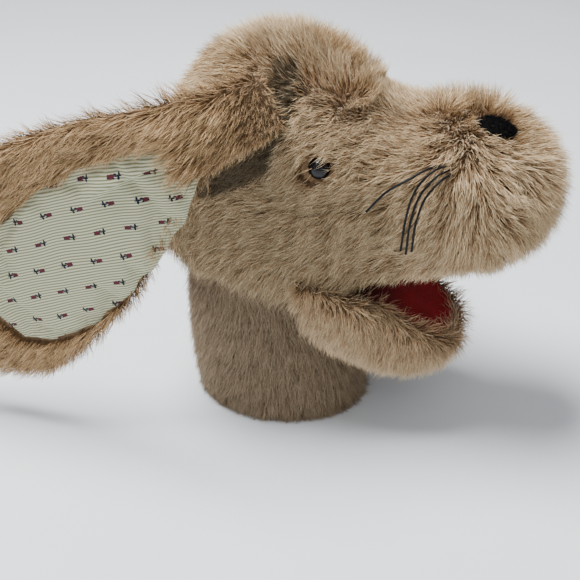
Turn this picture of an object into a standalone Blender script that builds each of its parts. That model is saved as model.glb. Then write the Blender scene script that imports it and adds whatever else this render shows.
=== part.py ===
"""Hand puppet: a long-eared plush animal's head on a short plush sleeve.

Frame: metres, +Z up, +X towards the muzzle, +Y to the puppet's left. The origin is the middle of the
sleeve's hem, which stands on the floor. The numbers below are millimetres, and each mesh is scaled to
metres as it is made.

Bodies: the sleeve is the base. The head nods on the neck seam, the jaw opens at the fold of the felt
mouth, and each ear swings on its stitched root. All four hinges turn about lines parallel to Y.
"""
import math

import bpy
import numpy as np
from mathutils import Vector

MM = 0.001

# Cloth and gaps
PLUSH = 3.0  # pile fabric's backing, as it is sewn
GAP = 0.3  # between pieces that touch on the real puppet
LINING = 1.5
FELT = 1.5
BOARD = 2.0

# Joints, as (x, z) of lines parallel to Y
NOD_AXIS = (-10.0, 95.0)
JAW_AXIS = (40.0, 92.0)
EAR_AXIS = (9.0, 192.0)
EAR_ROOT_Y = 50.5

# Head, as stations (x, top, widest height, bottom, half-width) from the back to the muzzle's tip
HEAD_STATIONS = (
    (-66.0, 148.0, 122.0, 96.0, 13.0),
    (-61.0, 166.0, 127.0, 78.0, 28.0),
    (-49.0, 185.0, 138.0, 55.0, 40.0),
    (-29.0, 204.0, 150.0, 42.0, 46.5),
    (-8.0, 213.0, 157.0, 38.0, 49.0),
    (14.0, 211.0, 156.0, 38.0, 50.0),
    (34.0, 200.0, 152.0, 48.0, 48.0),
    (52.0, 187.0, 146.0, 76.0, 44.5),
    (70.0, 180.0, 143.0, 92.0, 42.0),
    (90.0, 180.5, 144.0, 98.0, 42.0),
    (108.0, 177.5, 144.0, 104.0, 41.0),
    (122.0, 171.5, 144.0, 111.0, 37.0),
    (133.0, 164.0, 144.0, 121.0, 29.0),
    (139.0, 157.0, 145.0, 131.0, 17.0),
    (141.0, 151.0, 146.0, 141.0, 5.0),
)
MUZZLE_POWER = 2.8  # how square the sections are from here on, in front of the eyes
MUZZLE_FROM = 60.0
HEAD_BACK_EDGE = (-90.0, 110.0)  # the cut lower edge runs from here
CHEEK_LOW = (28.0, 84.0)  # through here
MOUTH_CORNER = (44.0, 93.0)  # through here
MOUTH_FRONT = (170.0, 119.0)  # to here, along the palate
GUSSET_HALF = 15.0  # middle strip over the crown and down the muzzle
STUFFING_FLOOR = 130.0
MUZZLE_SPLIT = 52.0

# Pocket for the fingers, as (x, centre z, half-width, half-height)
FINGER_POCKET = (
    (4.0, 131.0, 31.0, 13.0),
    (24.0, 131.5, 30.0, 12.5),
    (45.0, 132.0, 29.0, 12.0),
    (70.0, 134.0, 26.0, 11.0),
    (90.0, 136.0, 21.0, 9.0),
    (98.0, 137.0, 10.0, 5.0),
)
POCKET_LAYER = 0.5  # the flat layers lie beyond this share of its half-height

# Jaw, in its own plane: u forward from the hinge, w up from the lip. Stations (u, depth, half-width)
JAW_DROP = 30.0  # degrees below level
JAW_RISE = 8.0  # height of the uncut shape above the lip
JAW_STATIONS = (
    (-14.0, 40.0, 42.0),
    (8.0, 40.0, 42.0),
    (26.0, 39.0, 41.0),
    (44.0, 36.0, 39.0),
    (58.0, 30.0, 34.0),
    (68.0, 21.0, 25.0),
    (73.0, 12.0, 12.0),
)
JAW_BACK = ((47.5, 110.0), (62.0, 40.0))  # cut line behind the jaw, in x and z
THUMB_POCKET = (
    (-6.0, -15.5, 15.0, 9.0),
    (22.0, -15.5, 14.0, 8.5),
    (38.0, -14.5, 12.0, 7.5),
    (45.0, -14.0, 6.0, 4.0),
)

# Sleeve, as stations (z, centre x, half-length, half-width)
SLEEVE_STATIONS = (
    (0.0, 0.0, 47.0, 40.0),
    (25.0, -4.0, 46.5, 40.0),
    (50.0, -8.0, 43.5, 39.5),
    (70.0, -11.0, 40.5, 38.5),
    (90.0, -12.0, 36.5, 36.5),
    (106.0, -12.0, 33.0, 33.0),
    (122.0, -13.0, 30.5, 31.0),
)
SLEEVE_TOP = ((-75.0, 121.0), (45.0, 95.0))  # slanted upper edge, in x and z
HEM_BAND = 12.0  # height of the turned-in hem

# Ears: distance along the spine and half-width of the plush and of the cotton lining
EAR_THICK = 4.0
EAR_STATIONS = (
    (0.0, 18.0),
    (18.0, 20.0),
    (41.0, 24.0),
    (67.0, 30.0),
    (96.0, 41.0),
    (123.0, 50.5),
    (150.0, 54.0),
    (178.0, 54.0),
    (205.0, 50.0),
    (220.0, 41.0),
    (229.0, 30.0),
    (235.0, 17.0),
)
EAR_LINING = (
    (44.0, 6.0),
    (56.0, 15.0),
    (74.0, 23.5),
    (96.0, 30.5),
    (123.0, 35.0),
    (150.0, 36.0),
    (172.0, 32.0),
    (190.0, 24.0),
    (200.0, 12.0),
)
EAR_RISE = 10.5  # the plush sits this far towards the ear's upper edge
LINING_DROP = 3.0  # and the lining this far towards its lower edge
# Bends of an ear along its spine: (distance, degrees below level, degrees outwards)
RIGHT_BENDS = ((0.0, 25.0, 30.0), (22.0, 29.0, 22.0), (45.0, 35.0, 5.0), (120.0, 42.0, 1.0), (235.0, 54.0, -3.0))
LEFT_BENDS = ((0.0, 84.0, 30.0), (22.0, 86.0, 22.0), (45.0, 87.0, 3.0), (100.0, 88.0, 14.0), (235.0, 88.0, 84.0))

# Eyes, nose and their washers
EYE_PLACE = (30.5, 163.0)  # x and z
EYE_RADIUS = 5.5
NOSE_PLACE = (115.5, -14.0)  # x and y
NOSE_SIZE = (12.5, 10.5, 7.0)
STEM_RADIUS = 1.8
STEM_LENGTH = 10.5
WASHER_RADIUS = 6.0
WASHER_DEPTH = 6.0
WASHER_THICK = 1.4

# Whiskers: routes on the right side, mirrored for the left
WHISKER_DIAMETER = 1.2
WHISKER_STEP = 3.6
WHISKER_ROUTES = (
    ((88.5, -44.0, 168.5), (82.0, -51.0, 168.0), (74.5, -55.5, 164.0), (65.0, -57.0, 157.5), (56.0, -57.5, 146.5)),
    ((91.5, -44.0, 168.5), (85.5, -50.5, 167.5), (78.5, -54.0, 158.5), (75.0, -55.0, 144.0), (73.5, -55.5, 126.5)),
    ((93.0, -44.0, 166.5), (87.5, -50.5, 165.0), (80.8, -54.0, 156.0), (77.3, -55.0, 142.0), (76.2, -55.5, 125.0)),
    ((94.5, -44.0, 164.5), (89.5, -50.5, 163.0), (83.3, -54.0, 154.5), (79.9, -55.5, 141.5), (79.0, -56.0, 127.0)),
)

# Colours (linear), roughness
FUR_HEAD = (0.42, 0.29, 0.16)
FUR_MUZZLE = (0.50, 0.34, 0.19)
FUR_SLEEVE = (0.33, 0.25, 0.17)
RED_FELT = (0.33, 0.006, 0.010)
COTTON = (0.58, 0.60, 0.44)
BLACK = (0.006, 0.006, 0.007)
WADDING = (0.80, 0.80, 0.78)
LINING_CLOTH = (0.40, 0.31, 0.21)
CARDBOARD = (0.36, 0.24, 0.13)
WASHER_WHITE = (0.72, 0.72, 0.70)


def clear_scene():
    for ob in list(bpy.data.objects):
        bpy.data.objects.remove(ob, do_unlink=True)


def material(name, colour, roughness=0.9):
    mat = bpy.data.materials.get(name)
    if mat is None:
        mat = bpy.data.materials.new(name)
        mat.use_nodes = True
        shader = mat.node_tree.nodes["Principled BSDF"]
        shader.inputs["Base Color"].default_value = (*colour, 1.0)
        shader.inputs["Roughness"].default_value = roughness
        shader.inputs["Metallic"].default_value = 0.0
        mat.diffuse_color = (*colour, 1.0)
    return mat


def add_mesh(name, points, faces):
    """A mesh object from points in millimetres."""
    mesh = bpy.data.meshes.new(name)
    mesh.from_pydata([tuple(c * MM for c in p) for p in points], [], faces)
    mesh.update()
    ob = bpy.data.objects.new(name, mesh)
    bpy.context.scene.collection.objects.link(ob)
    return ob


def loft(name, rings):
    """A closed body through rings of equal length, with a fan over each end."""
    count = len(rings[0])
    points = [p for ring in rings for p in ring]
    first, last = len(points), len(points) + 1
    points += [tuple(np.mean(rings[0], axis=0)), tuple(np.mean(rings[-1], axis=0))]
    faces = []
    for i in range(len(rings) - 1):
        for j in range(count):
            a, b = i * count + j, i * count + (j + 1) % count
            faces += [(a, b, b + count), (a, b + count, a + count)]
    end = (len(rings) - 1) * count
    faces += [(first, (j + 1) % count, j) for j in range(count)]
    faces += [(last, end + j, end + (j + 1) % count) for j in range(count)]
    ob = add_mesh(name, points, faces)
    face_outwards(ob)
    return ob


def face_outwards(ob):
    """Turns every face over if the body's signed volume is negative."""
    mesh = ob.data
    volume = 0.0
    for polygon in mesh.polygons:
        corners = [mesh.vertices[i].co for i in polygon.vertices]
        for b, c in zip(corners[1:-1], corners[2:]):
            volume += corners[0].dot(b.cross(c))
    if volume < 0:
        mesh.flip_normals()


def oval(half_a, half_b, count, power=2.2):
    """Points of a superellipse, anticlockwise, with none on its own axes."""
    points = []
    for i in range(count):
        t = 2 * math.pi * (i + 0.5) / count
        c, s = math.cos(t), math.sin(t)
        a = half_a * math.copysign(abs(c) ** (2 / power), c)
        b = half_b * math.copysign(abs(s) ** (2 / power), s)
        points.append((a, b))
    return points


def boolean(ob, other, operation):
    """Applies a Boolean modifier and keeps the cutter for others."""
    cut = ob.modifiers.new("Cut", "BOOLEAN")
    cut.operation = operation
    cut.solver = "EXACT"
    cut.object = other
    graph = bpy.context.evaluated_depsgraph_get()
    mesh = bpy.data.meshes.new_from_object(ob.evaluated_get(graph))
    ob.modifiers.clear()
    ob.data = mesh
    return ob


def subtract(ob, *cutters):
    for cutter in cutters:
        boolean(ob, cutter, "DIFFERENCE")
    return ob


def keep_inside(ob, *regions):
    for region in regions:
        boolean(ob, region, "INTERSECT")
    return ob


def discard(*objects):
    for ob in objects:
        bpy.data.objects.remove(ob, do_unlink=True)


def copy_of(ob, name):
    twin = bpy.data.objects.new(name, ob.data.copy())
    bpy.context.scene.collection.objects.link(twin)
    return twin


def prism(outline, y_from=-90.0, y_to=90.0):
    """A cutter with this outline in x and z, between two values of y."""
    rings = [[(x, y, z) for x, z in outline] for y in (y_from, y_to)]
    return loft("cutter", rings)


def box(low, high):
    outline = [(low[0], low[2]), (high[0], low[2]), (high[0], high[2]), (low[0], high[2])]
    return prism(outline, low[1], high[1])


def finish(ob, name, mat, pivot=(0.0, 0.0, 0.0), smooth_angle=40.0):
    """Names the piece, gives it its material and puts its origin on its joint's axis."""
    ob.name = name
    ob.data.name = name
    ob.data.materials.clear()
    ob.data.materials.append(mat)
    place = Vector(pivot) * MM
    for vertex in ob.data.vertices:
        vertex.co -= place
    ob.location = place
    ob.data.shade_smooth()
    ob.data.set_sharp_from_angle(angle=math.radians(smooth_angle))
    return ob


def nod_pivot():
    return (NOD_AXIS[0], 0.0, NOD_AXIS[1])


def jaw_pivot():
    return (JAW_AXIS[0], 0.0, JAW_AXIS[1])


# Head


def head_solid(inset, count=26):
    """The head's outer shape, drawn in by inset."""
    rings = []
    for x, top, widest, bottom, half in HEAD_STATIONS:
        shrink = inset if half > 12 else inset * half / 12
        ends = np.sign(x - 40) * inset * max(0.0, (abs(x - 40) - 70) / 31)
        ring = []
        for a, b in oval(half - shrink, 1.0, count, MUZZLE_POWER if x > MUZZLE_FROM else 2.2):
            reach = top - widest if b > 0 else widest - bottom
            ring.append((x - ends, a, widest + b * (reach - shrink)))
        rings.append(ring)
    return loft("head_shape", rings)


def palate_height(x):
    slope = (MOUTH_FRONT[1] - MOUTH_CORNER[1]) / (MOUTH_FRONT[0] - MOUTH_CORNER[0])
    return MOUTH_CORNER[1] + (x - MOUTH_CORNER[0]) * slope


def above_lip(low, high, back=46.0):
    """The slab between two heights above the palate's line, from the mouth's corner forward."""
    front = 175.0
    return prism(
        [
            (back, palate_height(back) + low),
            (front, palate_height(front) + low),
            (front, palate_height(front) + high),
            (back, palate_height(back) + high),
        ]
    )


def under_head():
    """What is cut away below the head's lower edge and the palate."""
    front = (175.0, palate_height(175.0))
    low_back, low_front = (HEAD_BACK_EDGE[0], 20.0), (front[0], 20.0)
    return prism([HEAD_BACK_EDGE, low_back, low_front, front, MOUTH_CORNER, CHEEK_LOW])


def make_head_skin(fixings):
    skin = head_solid(0.0)
    inner = head_solid(PLUSH)
    below = under_head()
    subtract(skin, inner, below, *fixings)
    half = GUSSET_HALF - GAP / 2
    regions = {
        "head_right_panel": box((-100, -90, 0), (200, -half - GAP, 260)),
        "head_gusset": prism([(-100, 120), (200, 120), (200, 260), (-100, 260)], -half, half),
        "head_left_panel": box((-100, half + GAP, 0), (200, 90, 260)),
    }
    for name, region in regions.items():
        panel = keep_inside(copy_of(skin, name), region)
        if name == "head_gusset":
            chin = box((-100, -90, 0), (-30, 90, 130))
            subtract(panel, chin)
            discard(chin)
        finish(panel, name, material("plush_head", FUR_HEAD), nod_pivot())
        discard(region)
    discard(skin, inner, below)


def pocket_solid(stations, wall, to_world):
    """A flattened tube through stations, drawn in by wall."""
    rings = []
    for along, centre, half, tall in stations:
        rings.append([to_world(along, a, centre + b) for a, b in oval(half - wall, tall - wall, 20)])
    return loft("pocket", rings)


def head_place(x, y, z):
    return (x, y, z)


def pocket_shell(stations, to_world, trim):
    """A lining pocket, closed in front and open behind."""
    pocket = pocket_solid(stations, 0.0, to_world)
    first, second = stations[0], stations[1]
    inner_stations = [(first[0] - 20.0, *first[1:])] + [s for s in stations[1:-1]]
    end = stations[-1]
    inner_stations.append((end[0] - LINING, end[1], end[2] - 2.0, end[3] - 0.5))
    inner = pocket_solid(inner_stations, LINING, to_world)
    if trim is not None:
        keep_inside(pocket, trim)
    subtract(pocket, inner)
    discard(inner)
    return pocket


def finger_band(low, high):
    """What lies between two heights in the finger pocket, each a share of its half-height."""
    edges = []
    for share, shift in ((low, GAP / 2), (high, -GAP / 2)):
        points = [(x, centre + share * tall + shift) for x, centre, _, tall in FINGER_POCKET]
        edges.append([(-20.0, points[0][1])] + points + [(120.0, points[-1][1])])
    return prism(edges[0] + edges[1][::-1])


def make_finger_pocket(mat):
    """The pocket's two layers and the strip round its edge that joins them."""
    pocket = pocket_shell(FINGER_POCKET, head_place, None)
    for name, low, high in (("bottom", -20.0, -POCKET_LAYER), ("edge", -POCKET_LAYER, POCKET_LAYER), ("top", POCKET_LAYER, 20.0)):
        band = finger_band(low, high)
        finish(keep_inside(copy_of(pocket, "layer"), band), "finger_pocket_" + name, mat, nod_pivot())
        discard(band)
    discard(pocket)


def make_head_filling(cavities):
    """Wadding between the skin and the finger pocket, in the crown and in the muzzle."""
    room = pocket_solid(FINGER_POCKET, -GAP, head_place)
    crown_region = box((-100, -90, STUFFING_FLOOR), (MUZZLE_SPLIT - GAP, 90, 260))
    muzzle_region = prism(
        [
            (MUZZLE_SPLIT, palate_height(MUZZLE_SPLIT) + FELT + BOARD + 2 * GAP),
            (175.0, palate_height(175.0) + FELT + BOARD + 2 * GAP),
            (175.0, 260.0),
            (MUZZLE_SPLIT, 260.0),
        ]
    )
    for name, region in (("crown_stuffing", crown_region), ("muzzle_stuffing", muzzle_region)):
        wadding = keep_inside(head_solid(PLUSH + GAP), region)
        subtract(wadding, room, *cavities)
        finish(wadding, name, material("wadding", WADDING, 1.0), nod_pivot())
        discard(region)
    discard(room)


def make_palate():
    board_from = FELT + GAP
    for name, low, high, colour in (
        ("palate_felt", 0.0, FELT, RED_FELT),
        ("palate_board", board_from, board_from + BOARD, CARDBOARD),
    ):
        slab = above_lip(low, high)
        piece = keep_inside(head_solid(PLUSH + GAP), slab)
        finish(piece, name, material(name, colour), nod_pivot())
        discard(slab)


# Jaw


def jaw_place(u, y, w):
    drop = math.radians(JAW_DROP)
    x = JAW_AXIS[0] + u * math.cos(drop) + w * math.sin(drop)
    z = JAW_AXIS[1] - u * math.sin(drop) + w * math.cos(drop)
    return (x, y, z)


def jaw_solid(inset, count=24):
    rings = []
    for u, depth, half in JAW_STATIONS:
        shrink = inset if half > 12 else inset * half / 12
        middle, tall = (JAW_RISE - depth) / 2, (JAW_RISE + depth) / 2 - shrink
        end = inset * max(0.0, (u - 45) / 20) + inset * (u < 0)
        rings.append([jaw_place(u - end, a, middle + b) for a, b in oval(half - shrink, tall, count, 2.5)])
    return loft("jaw_shape", rings)


def jaw_slab(low, high):
    """The part of the jaw between two heights of its own, in front of the back cut."""
    corners = [jaw_place(u, 0.0, w) for u, w in ((-40.0, low), (90.0, low), (90.0, high), (-40.0, high))]
    slab = prism([(x, z) for x, _, z in corners])
    (top_x, top_z), (low_x, low_z) = JAW_BACK
    front = prism([(low_x, low_z - 40), (190.0, low_z - 40), (190.0, top_z), (top_x, top_z)])
    keep_inside(slab, front)
    discard(front)
    return slab


def make_jaw():
    felt_low = -FELT
    board_top = felt_low - GAP
    fill_top = board_top - BOARD - GAP
    room = pocket_solid(THUMB_POCKET, -GAP, jaw_place)
    layers = (
        ("jaw_skin", 0.0, -60.0, FUR_HEAD, 0.0),
        ("jaw_felt", 0.0, felt_low, RED_FELT, PLUSH + GAP),
        ("jaw_board", board_top, board_top - BOARD, CARDBOARD, PLUSH + GAP),
        ("chin_stuffing", fill_top, -60.0, WADDING, PLUSH + GAP),
    )
    for name, high, low, colour, inset in layers:
        piece = jaw_solid(inset)
        slab = jaw_slab(low, high)
        if name == "jaw_skin":
            inner = jaw_solid(PLUSH)
            subtract(piece, inner)
            discard(inner)
        keep_inside(piece, slab)
        if name == "chin_stuffing":
            subtract(piece, room)
        finish(piece, name, material(name, colour), jaw_pivot())
        discard(slab)
    trim = jaw_slab(-60.0, 0.0)
    cloth = material("lining_cloth", LINING_CLOTH)
    finish(pocket_shell(THUMB_POCKET, jaw_place, trim), "thumb_pocket", cloth, jaw_pivot())
    discard(room, trim)


# Sleeve


def sleeve_solid(inset, low, high, count=26):
    """The sleeve's outer shape between two heights, drawn in by inset."""
    heights = [s[0] for s in SLEEVE_STATIONS]
    levels = [low] + [z for z in heights if low + 2 < z < high - 2] + [high]
    rings = []
    for z in levels:
        centre, long, wide = (np.interp(z, heights, [s[i] for s in SLEEVE_STATIONS]) for i in (1, 2, 3))
        rings.append([(centre + a, b, z) for a, b in oval(long - inset, wide - inset, count, 2.0)])
    return loft("sleeve_shape", rings)


def sleeve_ring(outer, thick, low, high):
    ring = sleeve_solid(outer, low, high)
    inner = sleeve_solid(outer + thick, low - 5.0, high + 5.0)
    subtract(ring, inner)
    discard(inner)
    return ring


def make_sleeve():
    top = SLEEVE_STATIONS[-1][0]
    plush = material("plush_sleeve", FUR_SLEEVE)
    above = prism([SLEEVE_TOP[0], SLEEVE_TOP[1], (SLEEVE_TOP[1][0], 160.0), (SLEEVE_TOP[0][0], 160.0)])
    tube = subtract(sleeve_ring(0.0, PLUSH, 0.0, top), above)
    for name, side in (("sleeve_right_panel", -1), ("sleeve_left_panel", 1)):
        near, far = sorted((side * GAP / 2, side * 90.0))
        region = box((-100, near, -20), (100, far, 150))
        panel = keep_inside(copy_of(tube, name), region)
        finish(panel, name, plush)
        discard(region)
    discard(tube)
    cloth = material("lining_cloth", LINING_CLOTH)
    lining = subtract(sleeve_ring(PLUSH + GAP, LINING, 0.5, top), above)
    discard(above)
    finish(lining, "sleeve_lining", cloth)
    band = sleeve_ring(PLUSH + LINING + 2 * GAP, LINING, 0.5, HEM_BAND)
    finish(band, "sleeve_hem_band", cloth)


# Ears


def ear_path(bends, side, distance):
    """Spine point, across direction and outward normal of an ear at a distance from its root."""
    place = np.array([EAR_AXIS[0], side * EAR_ROOT_Y, EAR_AXIS[1]])
    steps = max(1, int(distance / 2))
    reach = distance / steps
    keys = [b[0] for b in bends]
    for i in range(steps + 1):
        at = (i + 0.5) * reach if i < steps else distance
        down = math.radians(np.interp(at, keys, [b[1] for b in bends]))
        out = math.radians(np.interp(at, keys, [b[2] for b in bends]))
        along = np.array([-math.cos(down) * math.cos(out), side * math.sin(out), -math.sin(down) * math.cos(out)])
        if i < steps:
            place = place + along * reach
    across = np.array([-math.sin(down), 0.0, math.cos(down)])
    normal = np.cross(along, across)
    normal *= side * np.sign(normal[1])
    return place, across, normal


def ear_outline(stations):
    """Half-widths at every distance that either layer of the ear uses, so that both bend alike."""
    keys = [s[0] for s in stations]
    marks = sorted({s[0] for s in EAR_STATIONS + EAR_LINING if keys[0] <= s[0] <= keys[-1]})
    return [(mark, float(np.interp(mark, keys, [s[1] for s in stations]))) for mark in marks]


def ear_sheet(name, bends, side, stations, low, high, drop=0.0, columns=6):
    """A slab that follows the ear's surface between two heights on its outer side."""
    rings = []
    for distance, half in ear_outline(stations):
        place, across, normal = ear_path(bends, side, distance)
        offsets = np.linspace(-half, half, columns) - drop * min(1.0, max(0.0, (distance - 20.0) / 60.0))
        over = [tuple(place + across * o + normal * high) for o in offsets]
        under = [tuple(place + across * o + normal * low) for o in offsets[::-1]]
        rings.append(over + under)
    return loft(name, rings)


def make_ear(name, bends, side):
    pivot = (EAR_AXIS[0], side * EAR_ROOT_Y, EAR_AXIS[1])
    back = ear_sheet(name, bends, side, EAR_STATIONS, 0.0, EAR_THICK, -EAR_RISE)
    finish(back, name + "_ear_back", material("plush_ear", FUR_HEAD), pivot)
    low = EAR_THICK + GAP
    lining = ear_sheet(name, bends, side, EAR_LINING, low, low + 1.0, LINING_DROP)
    finish(lining, name + "_ear_lining", material("printed_cotton", COTTON), pivot)


# Eyes, nose and whiskers


def turned(profile, count=16):
    """A lathed body from (radius, height) points, bottom to top, about the z axis."""
    rings = []
    for radius, height in profile:
        angles = [2 * math.pi * i / count for i in range(count)]
        rings.append([(radius * math.cos(a), radius * math.sin(a), height) for a in angles])
    return loft("turned", rings)


def stand_on(ob, place, direction):
    """Turns a lathed body's z axis to direction and moves it to place."""
    turn = Vector((0, 0, 1)).rotation_difference(Vector(direction)).to_matrix()
    for vertex in ob.data.vertices:
        vertex.co = turn @ vertex.co + Vector(place) * MM
    return ob


def on_skin(skin, start, direction):
    """Where a line from inside the head meets its outer shape, and the surface's normal there."""
    hit, place, normal, _ = skin.ray_cast(Vector(start) * MM, Vector(direction))
    if not hit:
        raise RuntimeError("no surface there")
    return tuple(place / MM), normal


def dome(half_width, half_length, tall, count=16):
    """Rings of a flattened ball."""
    profile = [(math.cos(t), math.sin(t)) for t in np.radians((-80, -55, -25, 0, 25, 50, 72, 86))]
    body = turned([(c, s) for c, s in profile], count)
    for vertex in body.data.vertices:
        vertex.co.x *= half_length
        vertex.co.y *= half_width
        vertex.co.z *= tall
    return body


def make_fixing(name, place, normal, size, mat, clear):
    """A bead or nose with its stem and its washer. Returns the cutters for the skin and the wadding."""
    bead = stand_on(dome(size[1], size[0], size[2]), place, normal)
    subtract(bead, clear)
    stem = stand_on(turned([(STEM_RADIUS, -STEM_LENGTH), (STEM_RADIUS, size[2] / 2)], 10), place, normal)
    boolean(bead, stem, "UNION")
    finish(bead, name, mat, nod_pivot())
    washer = turned([(WASHER_RADIUS, -WASHER_DEPTH - WASHER_THICK), (WASHER_RADIUS, -WASHER_DEPTH)])
    hole = turned([(STEM_RADIUS + GAP, -20.0), (STEM_RADIUS + GAP, 10.0)], 10)
    subtract(washer, hole)
    stand_on(washer, place, normal)
    finish(washer, name + "_washer", material("washer", WASHER_WHITE, 0.5), nod_pivot())
    stand_on(hole, place, normal)
    narrow, wide = STEM_RADIUS + GAP, WASHER_RADIUS + GAP
    step = -WASHER_DEPTH - WASHER_THICK - GAP
    pit = turned([(narrow, -STEM_LENGTH - GAP), (narrow, step), (wide, step), (wide, -1.0)])
    stand_on(pit, place, normal)
    discard(stem)
    return hole, pit


def make_fixings():
    """Eyes and nose. Returns what to cut from the skin and from the wadding."""
    shape = head_solid(0.0)
    clear = head_solid(-GAP)
    gloss = material("eye_bead", BLACK, 0.12)
    matte = material("nose_flock", BLACK, 0.85)
    jobs = []
    for name, side in (("right_eye", -1), ("left_eye", 1)):
        start = (EYE_PLACE[0], 0.0, EYE_PLACE[1])
        place, normal = on_skin(shape, start, (0.0, side, 0.0))
        jobs.append((name, place, normal, (EYE_RADIUS, EYE_RADIUS, EYE_RADIUS * 0.85), gloss))
    place, normal = on_skin(shape, (NOSE_PLACE[0] - 14.0, NOSE_PLACE[1], 145.0), (0.35, 0.0, 0.94))
    jobs.append(("nose", place, normal, NOSE_SIZE, matte))
    holes, pits = [], []
    for job in jobs:
        hole, pit = make_fixing(*job, clear)
        holes.append(hole)
        pits.append(pit)
    discard(shape, clear)
    return holes, pits


def smooth_route(route, step):
    """Points every step along a Catmull-Rom curve through the route's own points."""
    points = [Vector(p) for p in route]
    ends = [points[0] * 2 - points[1]] + points + [points[-1] * 2 - points[-2]]
    dense = []
    for a, b, c, d in zip(ends, ends[1:], ends[2:], ends[3:]):
        for i in range(20):
            t = i / 20
            dense.append(
                0.5 * ((2 * b) + (c - a) * t + (2 * a - 5 * b + 4 * c - d) * t * t + (3 * b - a - 3 * c + d) * t**3)
            )
    dense.append(points[-1])
    lengths = np.concatenate([[0.0], np.cumsum([(q - p).length for p, q in zip(dense, dense[1:])])])
    count = max(2, round(lengths[-1] / step))
    marks = np.linspace(0.0, lengths[-1], count + 1)
    return [[np.interp(m, lengths, [p[k] for p in dense]) for k in range(3)] for m in marks]


def make_whisker(name, route, side):
    points = [(x, y * -side, z) for x, y, z in smooth_route(route, WHISKER_STEP)]
    curve = bpy.data.curves.new(name, "CURVE")
    curve.dimensions = "3D"
    curve.bevel_depth = WHISKER_DIAMETER / 2 * MM
    curve.bevel_resolution = 2
    curve.use_fill_caps = True
    spline = curve.splines.new("POLY")
    spline.points.add(len(points) - 1)
    pivot = Vector(nod_pivot())
    for target, point in zip(spline.points, points):
        target.co = (*((Vector(point) - pivot) * MM), 1.0)
    curve.materials.append(material("whisker_thread", BLACK, 0.5))
    ob = bpy.data.objects.new(name, curve)
    ob.location = pivot * MM
    bpy.context.scene.collection.objects.link(ob)


def build():
    clear_scene()
    make_sleeve()
    holes, pits = make_fixings()
    make_head_skin(holes)
    make_head_filling(pits)
    discard(*holes, *pits)
    make_palate()
    cloth = material("lining_cloth", LINING_CLOTH)
    make_finger_pocket(cloth)
    make_jaw()
    make_ear("right", RIGHT_BENDS, -1)
    make_ear("left", LEFT_BENDS, 1)
    for side, word in ((-1, "right"), (1, "left")):
        for number, route in enumerate(WHISKER_ROUTES, 1):
            make_whisker(f"{word}_whisker_{number}", route, side)


build()
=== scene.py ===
"""Looks of the hand puppet: pile, felt, printed cotton, bead eyes, flocked nose and thread whiskers.

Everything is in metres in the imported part's frame. The pile is modelled as strands: each tuft is a
handful of tapered blades that rise from the cloth, bend the way the pile was brushed and meet at their
tips. Strand colours are plain on their shaders, in three shades for the root, middle and tip of a strand.
"""

import math

import bmesh
import bpy
import numpy as np
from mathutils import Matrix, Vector
from mathutils.bvhtree import BVHTree
from mathutils.kdtree import KDTree


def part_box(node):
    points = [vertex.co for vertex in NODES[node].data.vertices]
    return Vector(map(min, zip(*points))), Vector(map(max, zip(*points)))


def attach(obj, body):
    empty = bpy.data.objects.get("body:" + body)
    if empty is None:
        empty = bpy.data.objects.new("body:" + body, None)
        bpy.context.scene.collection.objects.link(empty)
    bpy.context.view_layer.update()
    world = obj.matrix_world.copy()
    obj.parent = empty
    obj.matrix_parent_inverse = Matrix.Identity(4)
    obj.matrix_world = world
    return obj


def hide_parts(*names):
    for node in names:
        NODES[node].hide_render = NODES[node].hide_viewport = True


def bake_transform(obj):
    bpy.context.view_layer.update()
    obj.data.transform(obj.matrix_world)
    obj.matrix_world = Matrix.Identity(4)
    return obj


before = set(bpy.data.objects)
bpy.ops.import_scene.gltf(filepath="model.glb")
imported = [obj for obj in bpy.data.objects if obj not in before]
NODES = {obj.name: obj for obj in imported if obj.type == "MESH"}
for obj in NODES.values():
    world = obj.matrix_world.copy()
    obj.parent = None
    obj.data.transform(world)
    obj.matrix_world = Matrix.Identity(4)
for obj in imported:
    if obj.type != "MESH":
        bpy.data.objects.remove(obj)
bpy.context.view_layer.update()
SIDES = (("right", -1), ("left", 1))

# Joints and the mouth, as in the part
MM = 0.001
JAW_AXIS = Vector((0.040, 0.0, 0.092))
JAW_DROP = math.radians(30.0)
PALATE_RISE = math.atan2(26.0, 126.0)
FELT_THICK = 0.0014

# Throat: a band of plush from the jaw's back edge to the head, in front of the sleeve. JAW_SIZES has
# distance in front of the hinge, depth and half-width, in millimetres
JAW_SIZES = (
    (-14.0, 40.0, 42.0), (8.0, 40.0, 42.0), (26.0, 39.0, 41.0), (44.0, 36.0, 39.0), (58.0, 30.0, 34.0),
)

# Ears, as in the part, in millimetres: EAR_LINING has distance along the spine and half-width, and the
# bends have distance along the spine, angle down and angle out
EAR_ROOT = (9.0, 50.5, 192.0)
EAR_LENGTH = 235.0
EAR_THICK = 4.0
EAR_LINING = (
    (44.0, 6.0), (56.0, 15.0), (74.0, 23.5), (96.0, 30.5), (123.0, 35.0), (150.0, 36.0), (172.0, 32.0),
    (190.0, 24.0), (200.0, 12.0),
)
LINING_DROP = 3.0  # how far the lining's middle is below the spine
RIGHT_BENDS = (
    (0.0, 25.0, 30.0), (22.0, 29.0, 22.0), (45.0, 35.0, 5.0), (120.0, 42.0, 1.0), (235.0, 54.0, -3.0),
)
LEFT_BENDS = (
    (0.0, 84.0, 30.0), (22.0, 86.0, 22.0), (45.0, 87.0, 3.0), (100.0, 88.0, 14.0), (235.0, 88.0, 84.0),
)
EAR_COMBS = ((-0.72, 0.0, -0.68), (0.0, 0.2, -1.0))  # which way the pile lies, right then left
ROOT_LIFT = 3.5  # how far the fold at an ear's root stands off the head, in millimetres
LINING_SLACK = 0.055  # extra cloth in the lining, which wrinkles
PLEAT_HEIGHT = 3.4  # of the fold near the lining's root end

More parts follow.
